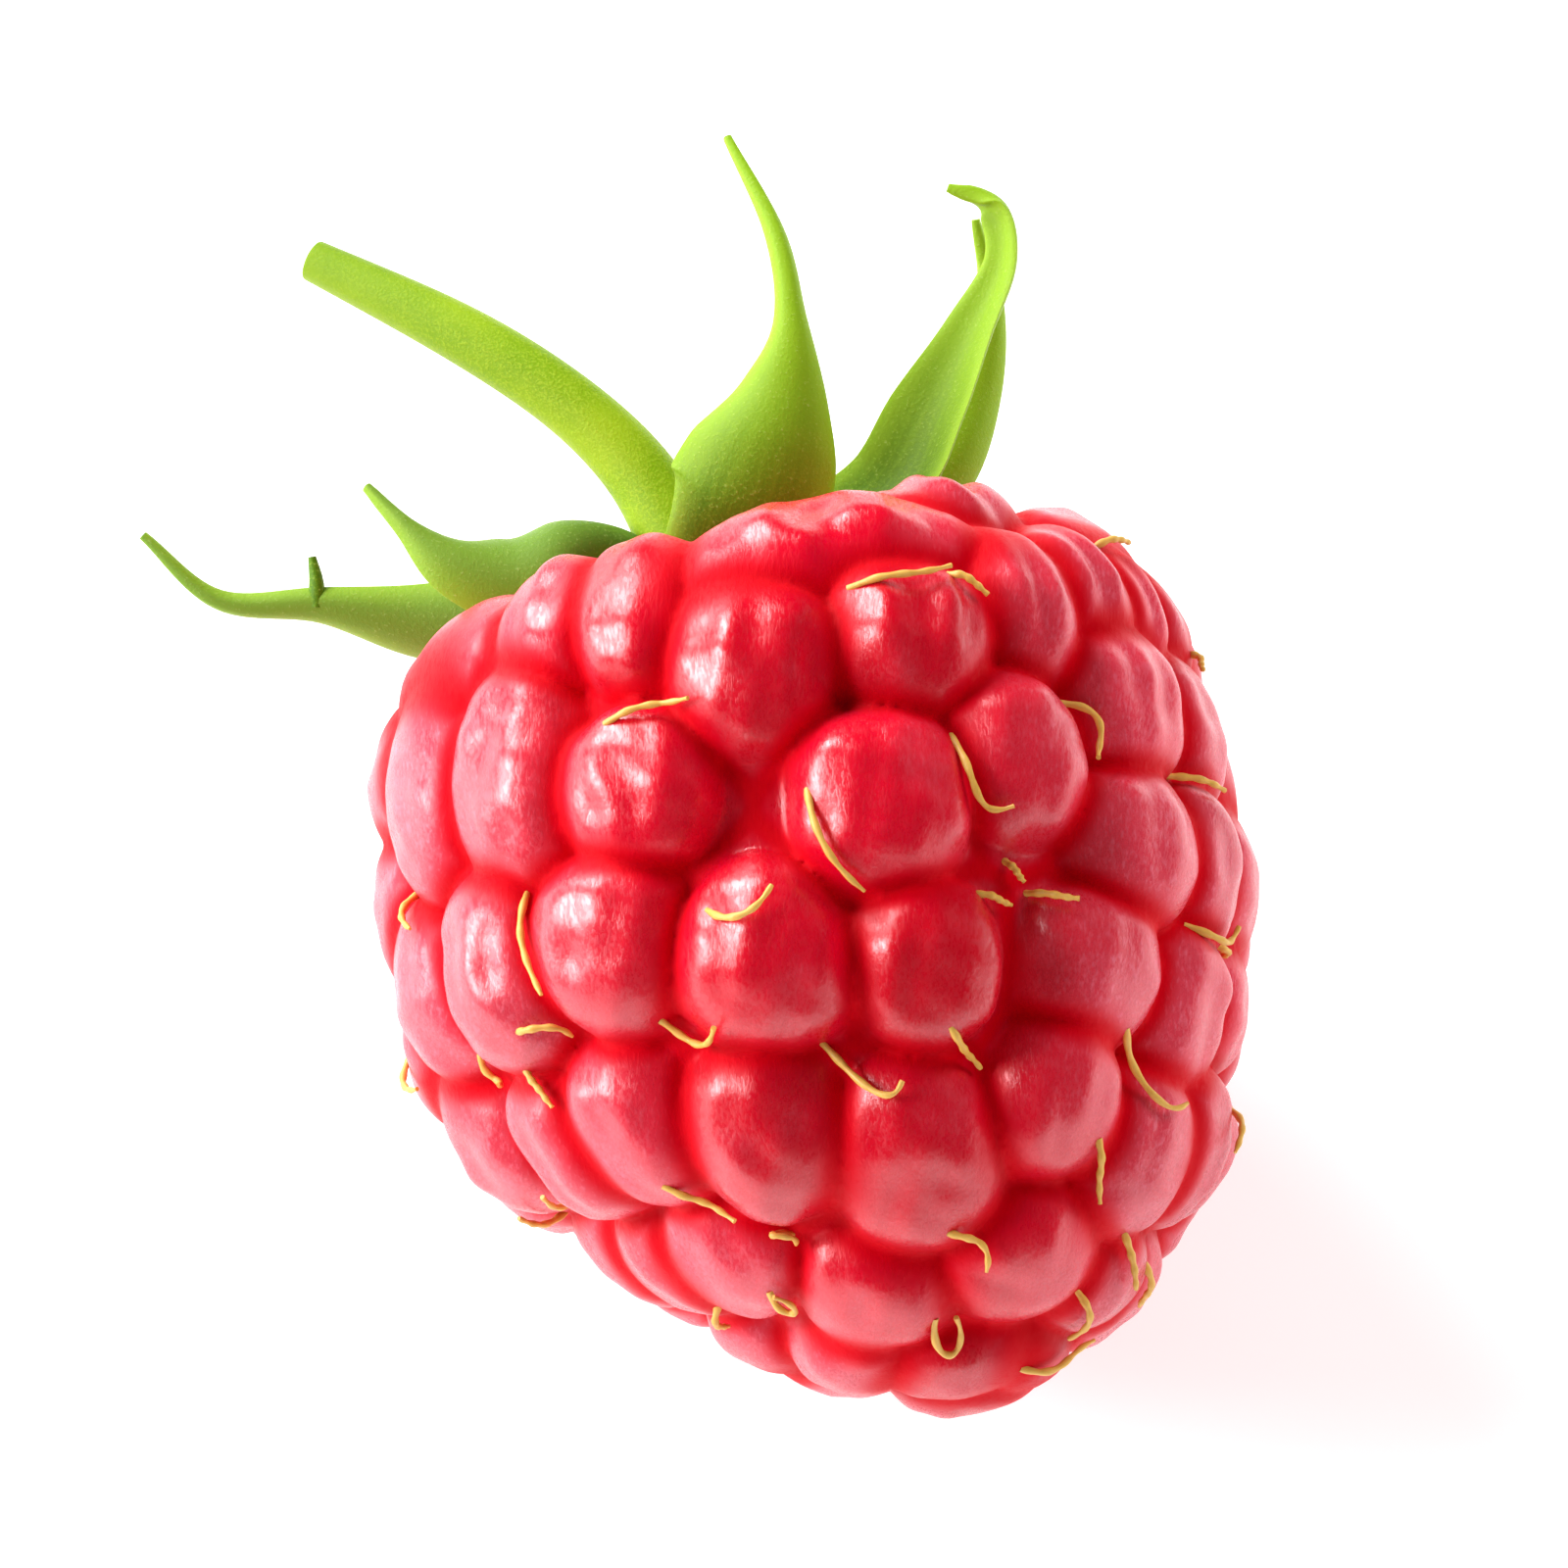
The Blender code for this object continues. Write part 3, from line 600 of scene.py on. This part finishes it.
def tube_mesh(route, radii, sides, ripple=None):
    """Points and faces of a round tube along a route, closed at both ends."""
    points, faces = [], []
    up = Vector((0, 0, 1))
    ahead = (route[1] - route[0]).normalized()
    side = ahead.orthogonal().normalized()
    for step, (place, radius) in enumerate(zip(route, radii)):
        after = route[min(step + 1, len(route) - 1)]
        before = route[max(step - 1, 0)]
        ahead = (after - before).normalized()
        side = (side - side.project(ahead)).normalized()
        up = ahead.cross(side)
        for spoke in range(sides):
            angle = 2 * math.pi * spoke / sides
            swell = ripple(step / (len(route) - 1), angle) if ripple else 1
            points.append(place + (side * math.cos(angle) + up * math.sin(angle)) * radius * swell)
    for step in range(len(route) - 1):
        for spoke in range(sides):
            a, b = step * sides + spoke, step * sides + (spoke + 1) % sides
            faces.append((a, b, b + sides, a + sides))
    faces.append(tuple(reversed(range(sides))))
    last = (len(route) - 1) * sides
    faces.append(tuple(range(last, last + sides)))
    return points, faces


def stem_ripple(along, angle):
    """Faint ridges that twist a little along the stem."""
    return 1 + 0.008 * math.sin(3 * angle + 2 * along) + 0.006 * math.sin(7 * angle)


def make_stem(finish):
    """The cut stem, bowed and thinner towards its end."""
    route = eased(smooth_route([Vector(point) for point in STEM_ROUTE], STEM_STEPS), 60)
    radii = eased(smooth_widths(STEM_RADII, STEM_STEPS), 60)
    points, faces = tube_mesh(route, radii, STEM_SIDES, stem_ripple)
    along = np.repeat(np.arange(STEM_STEPS) / (STEM_STEPS - 1), STEM_SIDES)
    add_piece("stem_stalk", laid(points), faces, finish, ["stem"], {"along": along})


def make_cup(finish):
    """The calyx's base: a low dome that the sepals and the stem grow out of."""
    points, faces = [], []
    for ring in range(CUP_RINGS + 1):
        turn = math.pi * ring / CUP_RINGS
        height = CUP_MIDDLE + CUP_HALF_HEIGHT * math.cos(turn)
        for spoke in range(CUP_SPOKES):
            angle = 2 * math.pi * spoke / CUP_SPOKES
            lobes = 1 + CUP_LOBE_DEPTH * math.cos(CUP_LOBES * angle)
            radius = CUP_RADIUS * lobes * math.sin(turn) ** 0.8
            points.append((CUP_CENTRE[0] + radius * math.cos(angle), radius * math.sin(angle), height))
    for ring in range(CUP_RINGS):
        for spoke in range(CUP_SPOKES):
            a, b = ring * CUP_SPOKES + spoke, ring * CUP_SPOKES + (spoke + 1) % CUP_SPOKES
            faces.append((a, a + CUP_SPOKES, b + CUP_SPOKES, b))
    add_piece("calyx_base", laid(points), faces, finish, ["calyx_cup"])


def leaf_rim():
    """Grid places, in order, of a leaf's edge."""
    row = LEAF_SPOKES + 1
    rim = list(range(LEAF_SPOKES))
    rim += [place * row + LEAF_SPOKES for place in range(LEAF_STEPS)]
    rim += [LEAF_STEPS * row + LEAF_SPOKES - spoke for spoke in range(LEAF_SPOKES)]
    rim += [(LEAF_STEPS - place) * row for place in range(LEAF_STEPS)]
    return rim


def leaf_faces():
    """Faces of a leaf's upper and lower grids and of the edge that joins them."""
    row = LEAF_SPOKES + 1
    count = (LEAF_STEPS + 1) * row
    faces = []
    for place in range(LEAF_STEPS):
        for spoke in range(LEAF_SPOKES):
            a = place * row + spoke
            faces.append((a, a + 1, a + row + 1, a + row))
            faces.append((count + a, count + a + row, count + a + row + 1, count + a + 1))
    rim = leaf_rim()
    for a, b in zip(rim, rim[1:] + rim[:1]):
        faces.append((b, a, count + a, count + b))
    return faces


def make_sepal(sepal, finish):
    """A leaf with a thick middle and thin edges, whose root runs on under the calyx."""
    root = Vector(sepal.spine[0]).lerp(Vector(CALYX_HEART), ROOT_SHARE)
    spine = smooth_route([root, *(Vector(point) for point in sepal.spine)], LEAF_STEPS + 1)
    widths = smooth_widths((ROOT_WIDTH * sepal.widths[0], *sepal.widths), LEAF_STEPS + 1)
    points, reach_of, along_of = [], [], []
    for face in (1, -1):
        for place in range(LEAF_STEPS + 1):
            ahead = spine[min(place + 1, LEAF_STEPS)] - spine[max(place - 1, 0)]
            side = Vector(sepal.side)
            side = (side - side.project(ahead)).normalized()
            facing = side.cross(ahead).normalized()
            width = max(widths[place], LEAF_THINNEST_WIDTH)
            for spoke in range(LEAF_SPOKES + 1):
                reach = 2 * spoke / LEAF_SPOKES - 1
                thick = LEAF_HALF_THICKNESS * (1 - reach**4) + LEAF_EDGE_THICKNESS
                thick = min(thick, 0.4 * width)
                rise = sepal.cup * width * reach**2
                points.append(spine[place] + side * reach * width / 2 + facing * (rise + face * thick))
                reach_of.append(reach)
                along_of.append(place / LEAF_STEPS)
    cool = [float(sepal.name in COOL_SEPALS)] * len(points)
    add_piece(
        sepal.name + "_leaf",
        laid(points),
        leaf_faces(),
        finish,
        [sepal.name],
        {"reach": reach_of, "along": along_of, "cool": cool},
    )


def make_spur(finish):
    """The short spur that stands on the back left sepal."""
    route = smooth_route([Vector(point) for point in SPUR_ROUTE], SPUR_STEPS)
    points, faces = tube_mesh(route, smooth_widths(SPUR_RADII, SPUR_STEPS), SPUR_SIDES)
    shade = {"reach": np.zeros(len(points)), "along": np.full(len(points), SPUR_SHADE)}
    nodes = ["sepal_back_left"]
    add_piece("sepal_back_left_spur", laid(points), faces, finish, nodes, shade)


# ---------------------------------------------------------------- styles


def lifted(azimuth, height, lift, skin):
    """The point that stands a lift off the fruit's skin at an azimuth and height."""
    frame = envelope_frame(azimuth, height)
    inward = -frame.col[2].to_3d()
    outside = frame.translation - inward * STYLE_DROP
    spot = skin.ray_cast(outside, inward)[0]
    spot, out = skin.find_nearest(spot - inward * lift)[:2]
    return spot + out * lift


def style_path(style):
    """A front style with its place on its drupelet turned into an azimuth and a height."""
    drupelet = FRONT_DRUPELETS[style.drupelet]
    around = style.across * drupelet.width / 2 / envelope_radius(drupelet.height)
    height = drupelet.height + style.along * drupelet.length / 2
    return Path(drupelet.azimuth + math.degrees(around), height, *style[3:])


def style_route(path, skin):
    """Points of a style that runs over the fruit's skin and rises off it towards its end."""
    azimuth, height = path.azimuth, path.height
    stride = path.length / (STYLE_POINTS - 1)
    lateness = HOOK_LATENESS if abs(path.turn) == HOOK else 1
    route = []
    for step in range(STYLE_POINTS):
        route.append(lifted(azimuth, height, STYLE_RISE * min(step, 2) - STYLE_ROOT, skin))
        angle = math.radians(path.heading + path.turn * (step / (STYLE_POINTS - 1)) ** lateness)
        radius = max(envelope_radius(height), NEAR_TIP_RADIUS)
        azimuth += math.degrees(stride * math.cos(angle) / radius)
        height = max(height + stride * math.sin(angle), STYLE_LOWEST)
    return eased(route, 4)


def all_styles():
    """The styles of the front, then those of the hidden half."""
    hidden = list(back_drupelets())[BACK_STYLE_FIRST::BACK_STYLE_STEP]
    shapes = [BACK_STYLE_SHAPES[i % len(BACK_STYLE_SHAPES)] for i in range(len(hidden))]
    behind = [
        Path(drupelet.azimuth, drupelet.height + BACK_STYLE_RISE, *shape)
        for drupelet, shape in zip(hidden, shapes)
    ]
    return [style_path(style) for style in FRONT_STYLES] + behind


def fruit_surface(fruit):
    """The fruit's skin in the berry's own millimetres, to lay styles on."""
    own = np.array([v.co for v in fruit.data.vertices]) / MM
    own = (own - np.array(LAID.translation)) @ np.array(LAID.to_3x3())
    faces = [tuple(f.vertices) for f in fruit.data.polygons]
    return BVHTree.FromPolygons([Vector(p) for p in own], faces)


def style_radii(number):
    """Radii along a style, which are a little uneven and thin out at its end."""
    last = STYLE_STEPS - 1
    return [
        STYLE_RADIUS * (1 + 0.15 * math.sin(0.9 * step + number) - 0.4 * (step / last) ** 3)
        for step in range(STYLE_STEPS)
    ]


def make_styles(fruit, finish):
    """The dry hairs that stand on the drupelets, apart from any that would reach the ground."""
    skin = fruit_surface(fruit)
    number = 0
    for path in all_styles():
        route = style_route(path, skin)
        if min((LAID @ point).z for point in route) <= STYLE_FLOOR_GAP:
            continue
        number += 1
        fine = smooth_route(route, STYLE_STEPS)
        points, faces = tube_mesh(fine, style_radii(number), STYLE_SIDES)
        name = f"style_{number:02d}"
        add_piece(name + "_hair", laid(points), faces, finish, [name])


# ---------------------------------------------------------------- materials


class Nodes:
    """Short calls that add and join shader nodes."""

    def __init__(self, name):
        self.material = bpy.data.materials.new(name)
        self.material.use_nodes = True
        self.tree = self.material.node_tree
        self.shader = self.tree.nodes["Principled BSDF"]

    def link(self, source, target):
        self.tree.links.new(source, target)

    def coordinates(self):
        return self.tree.nodes.new("ShaderNodeTexCoord").outputs["Object"]

    def attribute(self, name):
        node = self.tree.nodes.new("ShaderNodeAttribute")
        node.attribute_name = name
        return node.outputs["Fac"]

    def noise(self, per_mm, detail=2.0, roughness=0.5, stretch=None):
        node = self.tree.nodes.new("ShaderNodeTexNoise")
        node.inputs["Scale"].default_value = per_mm / MM
        node.inputs["Detail"].default_value = detail
        node.inputs["Roughness"].default_value = roughness
        source = self.coordinates()
        if stretch:
            mapping = self.tree.nodes.new("ShaderNodeMapping")
            mapping.inputs["Scale"].default_value = stretch
            self.link(source, mapping.inputs["Vector"])
            source = mapping.outputs["Vector"]
        self.link(source, node.inputs["Vector"])
        return node.outputs["Fac"]

    def grain(self, across, per_width, along, per_length):
        """Noise drawn out along a leaf, in the leaf's own two directions."""
        place = self.tree.nodes.new("ShaderNodeCombineXYZ")
        self.link(self.math("MULTIPLY", across, per_width), place.inputs["X"])
        self.link(self.math("MULTIPLY", along, per_length), place.inputs["Y"])
        node = self.tree.nodes.new("ShaderNodeTexNoise")
        node.inputs["Scale"].default_value = 2
        self.link(place.outputs["Vector"], node.inputs["Vector"])
        return node.outputs["Fac"]

    def span(self, value, low, high, to_low=0.0, to_high=1.0):
        node = self.tree.nodes.new("ShaderNodeMapRange")
        node.interpolation_type = "SMOOTHSTEP"
        ends = {"From Min": low, "From Max": high, "To Min": to_low, "To Max": to_high}
        for key, number in ends.items():
            node.inputs[key].default_value = number
        self.link(value, node.inputs["Value"])
        return node.outputs["Result"]

    def math(self, operation, first, second):
        node = self.tree.nodes.new("ShaderNodeMath")
        node.operation = operation
        for socket, value in zip(node.inputs, (first, second)):
            if isinstance(value, (int, float)):
                socket.default_value = value
            else:
                self.link(value, socket)
        return node.outputs[0]

    def mix(self, share, first, second):
        node = self.tree.nodes.new("ShaderNodeMix")
        node.data_type = "RGBA"
        for key, value in ((0, share), (6, first), (7, second)):
            if isinstance(value, tuple):
                node.inputs[key].default_value = (*value, 1)
            elif isinstance(value, (int, float)):
                node.inputs[key].default_value = value
            else:
                self.link(value, node.inputs[key])
        return node.outputs[2]

    def bump(self, heights, distance_mm, strength=1.0):
        node = self.tree.nodes.new("ShaderNodeBump")
        node.inputs["Distance"].default_value = distance_mm * MM
        node.inputs["Strength"].default_value = strength
        self.link(heights, node.inputs["Height"])
        self.link(node.outputs["Normal"], self.shader.inputs["Normal"])

    def set(self, **values):
        for key, value in values.items():
            socket = self.shader.inputs[key.replace("_", " ")]
            if isinstance(value, bpy.types.NodeSocket):
                self.link(value, socket)
            else:
                socket.default_value = (*value, 1) if key.endswith(("Color", "Tint")) else value


def flesh():
    """Juicy red in the creases, whose gloss is tinted by a painted red reflection; on the drupelets'
    faces a grainy pale bloom, with a painted sheen that pales the flanks.
    """
    n = Nodes("raspberry_flesh")
    clear = n.attribute("clear")
    patches = n.noise(0.45, 3)
    fuzz = n.noise(12, 4, 0.65, (1.0, 0.3, 0.7))
    face = n.span(clear, 0.03, 0.3)
    deep = n.mix(patches, CREASE_DARK, CREASE_BRIGHT)
    skin = n.mix(n.attribute("tone"), SKIN_DARK, SKIN_BRIGHT)
    # The bloom's cover: random patches on the faces plus a painted sheen that pales the flanks, broken
    # up by the fuzz.
    flank_sheen = n.span(n.attribute("flank_sheen"), 0.32, 0.85, 0.0, 0.34)
    bloom_and_sheen_cover = n.math("MULTIPLY", n.math("ADD", n.span(patches, 0.5, 0.7, 0.0, 0.12), flank_sheen), face)
    bloom_and_sheen_cover = n.math("MULTIPLY", bloom_and_sheen_cover, n.span(fuzz, 0.5, 0.72, 0.75, 2.0))
    skin = n.mix(bloom_and_sheen_cover, skin, BLOOM_AND_SHEEN)
    n.link(n.mix(face, deep, skin), n.shader.inputs["Base Color"])
    shine = n.span(fuzz, 0.4, 0.7, 0.26, 0.38)
    n.link(n.math("ADD", shine, n.span(clear, 0.0, 0.3, 0.4, 0.0)), n.shader.inputs["Roughness"])
    # In the creases the gloss is tinted red: a painted reflection of the drupelets around them.
    gloss = n.mix(n.span(clear, 0.1, 0.45), CREASE_PAINTED_REFLECTION, SKIN_GLOSS)
    n.link(gloss, n.shader.inputs["Specular Tint"])
    n.set(
        IOR=1.5,
        Specular_IOR_Level=0.9,
        Subsurface_Weight=0.2,
        Subsurface_Radius=(1.0, 0.08, 0.08),
        Subsurface_Scale=1.0 * MM,
        Sheen_Weight=0.02,
        Sheen_Roughness=0.35,
        Sheen_Tint=SKIN_SHEEN,
    )
    n.bump(n.span(fuzz, 0.42, 0.7), 0.004)
    return n.material


def plant_green(n, colour, grain):
    """Satin plant tissue of a colour, roughened by its grain."""
    n.link(colour, n.shader.inputs["Base Color"])
    n.link(n.span(grain, 0.3, 0.7, 0.45, 0.62), n.shader.inputs["Roughness"])
    n.set(
        Specular_IOR_Level=0.2,
        Subsurface_Weight=0.1,
        Subsurface_Radius=(0.5, 0.8, 0.1),
        Subsurface_Scale=0.4 * MM,
        Sheen_Weight=0.04,
        Sheen_Roughness=0.3,
        Sheen_Tint=GREEN_SHEEN,
    )
    n.bump(grain, 0.02)
    return n.material


def leaf_green():
    """Bright green sepals: darkened towards the base by painted shade, pale at the margins, finely
    veined.
    """
    n = Nodes("calyx_green")
    reach = n.math("ABSOLUTE", n.attribute("reach"), 0.0)
    along = n.attribute("along")
    speckle = n.noise(12, 3, 0.7)
    veins = n.grain(n.attribute("reach"), 5, along, 2)
    # Painted shade: dark towards the sepals' bases, where they meet the calyx.
    colour = n.mix(n.span(along, 0.0, 0.75), LEAF_BASE_SHADE, LEAF_BLADE)
    colour = n.mix(n.span(reach, 0.5, 1.0, 0, 0.55), colour, LEAF_MARGIN)
    colour = n.mix(n.span(veins, 0.4, 0.75, 0, 0.25), colour, LEAF_VEIN)
    colour = n.mix(n.span(speckle, 0.45, 0.7, 0, 0.3), colour, LEAF_SPECKLE)
    cool = n.math("MULTIPLY", n.attribute("cool"), n.span(reach, 0.3, 1.0, 0.7, 0.3))
    colour = n.mix(cool, colour, LEAF_COOL)
    colour = n.mix(n.span(speckle, 0.58, 0.72, 0, 0.3), colour, LEAF_PALE)
    return plant_green(n, colour, speckle)


def stalk_green():
    """The stem: bright yellow-green, with darker speckled stretches."""
    n = Nodes("stem_green")
    speckle = n.noise(15, 3, 0.7)
    broad = n.noise(0.4, 2)
    colour = n.mix(n.span(broad, 0.3, 0.7), STALK_DARK, STALK_BRIGHT)
    colour = n.mix(n.span(speckle, 0.45, 0.66, 0, 0.6), colour, STALK_SPECKLE)
    colour = n.mix(n.span(n.attribute("along"), 0.55, 1.0, 0, 0.5), colour, STALK_END)
    return plant_green(n, colour, speckle)


def golden():
    """The styles: dry and golden brown, in streaks."""
    n = Nodes("style_gold")
    streak = n.noise(4, 3)
    n.link(n.mix(streak, STYLE_BROWN, STYLE_GOLD), n.shader.inputs["Base Color"])
    n.set(Roughness=0.45, Subsurface_Weight=0.15, Subsurface_Scale=0.2 * MM)
    n.bump(streak, 0.01)
    return n.material


# ---------------------------------------------------------------- floor, light and camera

# In metres, and in degrees above the floor.
AIM = (0.0023, -0.0003, 0.0113)
CAMERA_ELEVATION = 58
CAMERA_DISTANCE = 0.18182
LENS, SENSOR = 180, 36
NEAREST, FARTHEST = 0.01, 10
FLOOR_HALF_WIDTH = 1.5
FLOOR_GLOW = 0.4
ROOM_STRENGTH = 0.22

# Name, place, width and power of each light, and whether it shows in the gloss.
LIGHTS = (
    ("left window", (-0.215, -0.01, 0.11), 0.13, 0.72, True),
    ("back window", (-0.14, 0.17, 0.14), 0.14, 0.8, True),
    ("right window", (0.19, 0.1, 0.12), 0.14, 0.36, False),
    ("front fill", (0.06, -0.24, 0.07), 0.2, 0.2, False),
)


def make_floor():
    """A plain pale floor that runs out of view."""
    mesh = bpy.data.meshes.new("floor")
    shape = bmesh.new()
    bmesh.ops.create_grid(shape, x_segments=8, y_segments=8, size=FLOOR_HALF_WIDTH)
    shape.to_mesh(mesh)
    shape.free()
    n = Nodes("pale_floor")
    mottle = n.noise(0.02, 2)
    n.link(n.mix(mottle, FLOOR_DIM, FLOOR_PALE), n.shader.inputs["Base Color"])
    n.set(Roughness=0.9, Emission_Color=WHITE, Emission_Strength=FLOOR_GLOW)
    mesh.materials.append(n.material)
    floor = bpy.data.objects.new("floor", mesh)
    bpy.context.scene.collection.objects.link(floor)


def area_light(name, place, size, power, mirrored):
    """A round soft light that faces the berry and, where mirrored, shows in its gloss."""
    data = bpy.data.lights.new(name, "AREA")
    data.shape = "DISK"
    data.size = size
    data.energy = power
    lamp = bpy.data.objects.new(name, data)
    lamp.location = place
    lamp.rotation_euler = (Vector(AIM) - Vector(place)).to_track_quat("-Z", "Y").to_euler()
    lamp.visible_glossy = mirrored
    bpy.context.scene.collection.objects.link(lamp)


def make_camera():
    """Looks down on the berry from its tip's side."""
    data = bpy.data.cameras.new("camera")
    data.lens = LENS
    data.sensor_width = SENSOR
    data.clip_start = NEAREST
    data.clip_end = FARTHEST
    camera = bpy.data.objects.new("camera", data)
    angle = math.radians(CAMERA_ELEVATION)
    camera.location = Vector(AIM) + Vector((0, -math.cos(angle), math.sin(angle))) * CAMERA_DISTANCE
    camera.rotation_euler = (math.radians(90 - CAMERA_ELEVATION), 0, 0)
    bpy.context.scene.collection.objects.link(camera)
    bpy.context.scene.camera = camera


def make_light():
    """A bright room with two soft windows that show in the gloss and two lamps that don't."""
    world = bpy.data.worlds.new("studio")
    world.use_nodes = True
    background = world.node_tree.nodes["Background"]
    background.inputs["Color"].default_value = (*WHITE, 1)
    background.inputs["Strength"].default_value = ROOM_STRENGTH
    bpy.context.scene.world = world
    world.cycles_visibility.glossy = False
    for light in LIGHTS:
        area_light(*light)
    bpy.context.scene.view_settings.view_transform = "Standard"


def main():
    fruit = make_fruit(flesh())
    leaf = leaf_green()
    make_cup(leaf)
    make_stem(stalk_green())
    for sepal in SEPALS:
        make_sepal(sepal, leaf)
    make_spur(leaf)
    make_styles(fruit, golden())
    make_floor()
    make_light()
    make_camera()


main()
